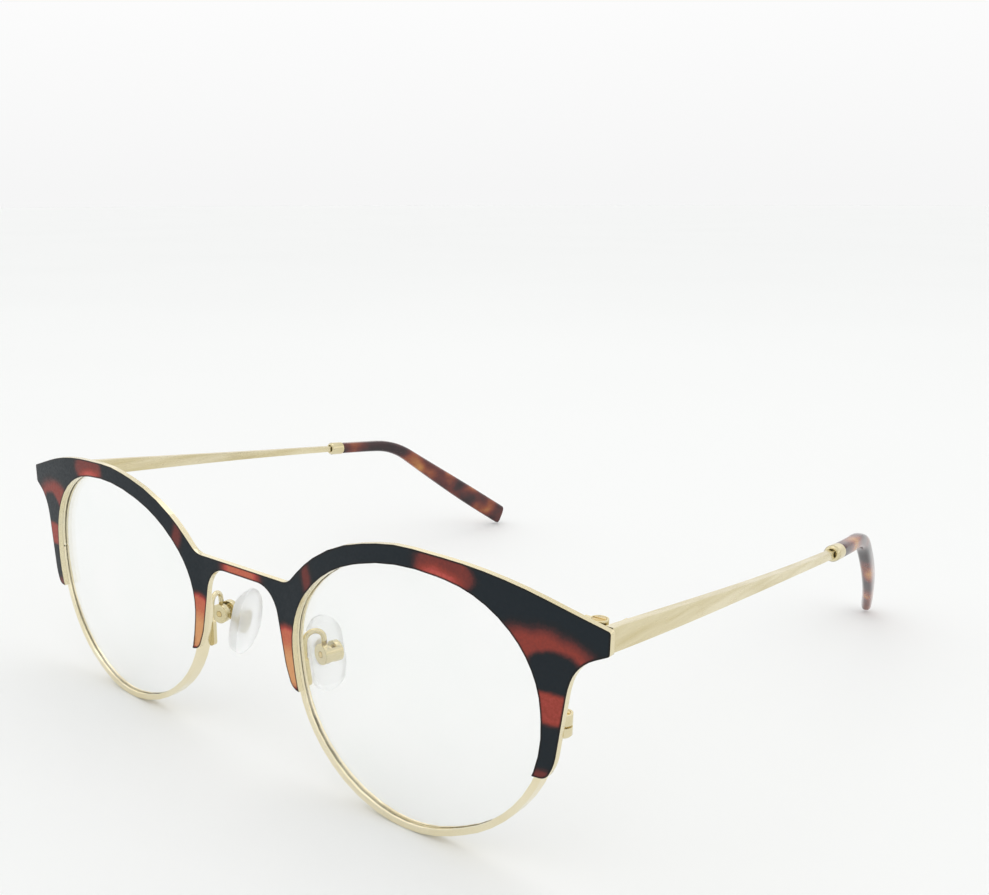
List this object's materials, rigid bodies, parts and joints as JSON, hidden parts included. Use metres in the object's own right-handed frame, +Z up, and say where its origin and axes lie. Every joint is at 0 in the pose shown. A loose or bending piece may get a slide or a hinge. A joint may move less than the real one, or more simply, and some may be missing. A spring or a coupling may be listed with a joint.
{
  "type": "browline glasses",
  "caption": "Browline spectacles: printed metal brow plate over thin round eyewires, clear lenses, nose pads on wire arms and folding temples with acetate tips.",
  "frame": {"origin": "on the table under the middle of the whole pair, standing open on the bottoms of the eyewires and the ends of the tips", "axes": "+X to the wearer's left, +Y from the lenses back along the temples, +Z up"},
  "size_m": [0.1346, 0.1398, 0.045],
  "materials": {
    "printed_plate": "tortoiseshell print under clear lacquer, bare pale-gold edges",
    "pale_gold": "pale gold plating, polished",
    "screw_gold": "gold-plated small screws",
    "lens_clear": "clear plano demonstration lens",
    "pad_clear": "clear soft silicone",
    "tip_acetate": "polished tortoiseshell acetate"
  },
  "bodies": {
    "front": {"brow_plate": "printed_plate", "eyewire_left": "pale_gold", "eyewire_right": "pale_gold", "lens_left": "lens_clear", "lens_right": "lens_clear", "closing_block_upper_left": "pale_gold", "closing_block_upper_right": "pale_gold", "closing_block_lower_left": "pale_gold", "closing_block_lower_right": "pale_gold", "rim_screw_left": "screw_gold", "rim_screw_right": "screw_gold", "pad_arm_left": "pale_gold", "pad_arm_right": "pale_gold", "pad_box_left": "pale_gold", "pad_box_right": "pale_gold", "pad_screw_left": "screw_gold", "pad_screw_right": "screw_gold", "hinge_front_leaf_left": "pale_gold", "hinge_front_leaf_right": "pale_gold", "hinge_screw_left": "screw_gold", "hinge_screw_right": "screw_gold"},
    "left_temple": {"temple_left": "pale_gold", "hinge_temple_leaf_left": "pale_gold", "ferrule_left": "pale_gold", "temple_tip_left": "tip_acetate"},
    "right_temple": {"temple_right": "pale_gold", "hinge_temple_leaf_right": "pale_gold", "ferrule_right": "pale_gold", "temple_tip_right": "tip_acetate"},
    "left_nose_pad": {"pad_tab_left": "pale_gold", "nose_pad_left": "pad_clear"},
    "right_nose_pad": {"pad_tab_right": "pale_gold", "nose_pad_right": "pad_clear"}
  },
  "joints": [
    {"name": "left_temple_hinge", "type": "hinge", "parent": "front", "child": "left_temple", "pos_m": [0.0641, -0.06324, 0.03778], "axis": [0, 0, 1], "range_deg": [0, 84]},
    {"name": "right_temple_hinge", "type": "hinge", "parent": "front", "child": "right_temple", "pos_m": [-0.0641, -0.06324, 0.03778], "axis": [0, 0, -1], "range_deg": [0, 77]},
    {"name": "left_pad_rock", "type": "hinge", "parent": "front", "child": "left_nose_pad", "pos_m": [0.0135, -0.0619, 0.02055], "axis": [0.1736, 0.9848, 0], "range_deg": [-8, 8]},
    {"name": "right_pad_rock", "type": "hinge", "parent": "front", "child": "right_nose_pad", "pos_m": [-0.0135, -0.0619, 0.02055], "axis": [-0.1736, 0.9848, 0], "range_deg": [-8, 8]}
  ]
}
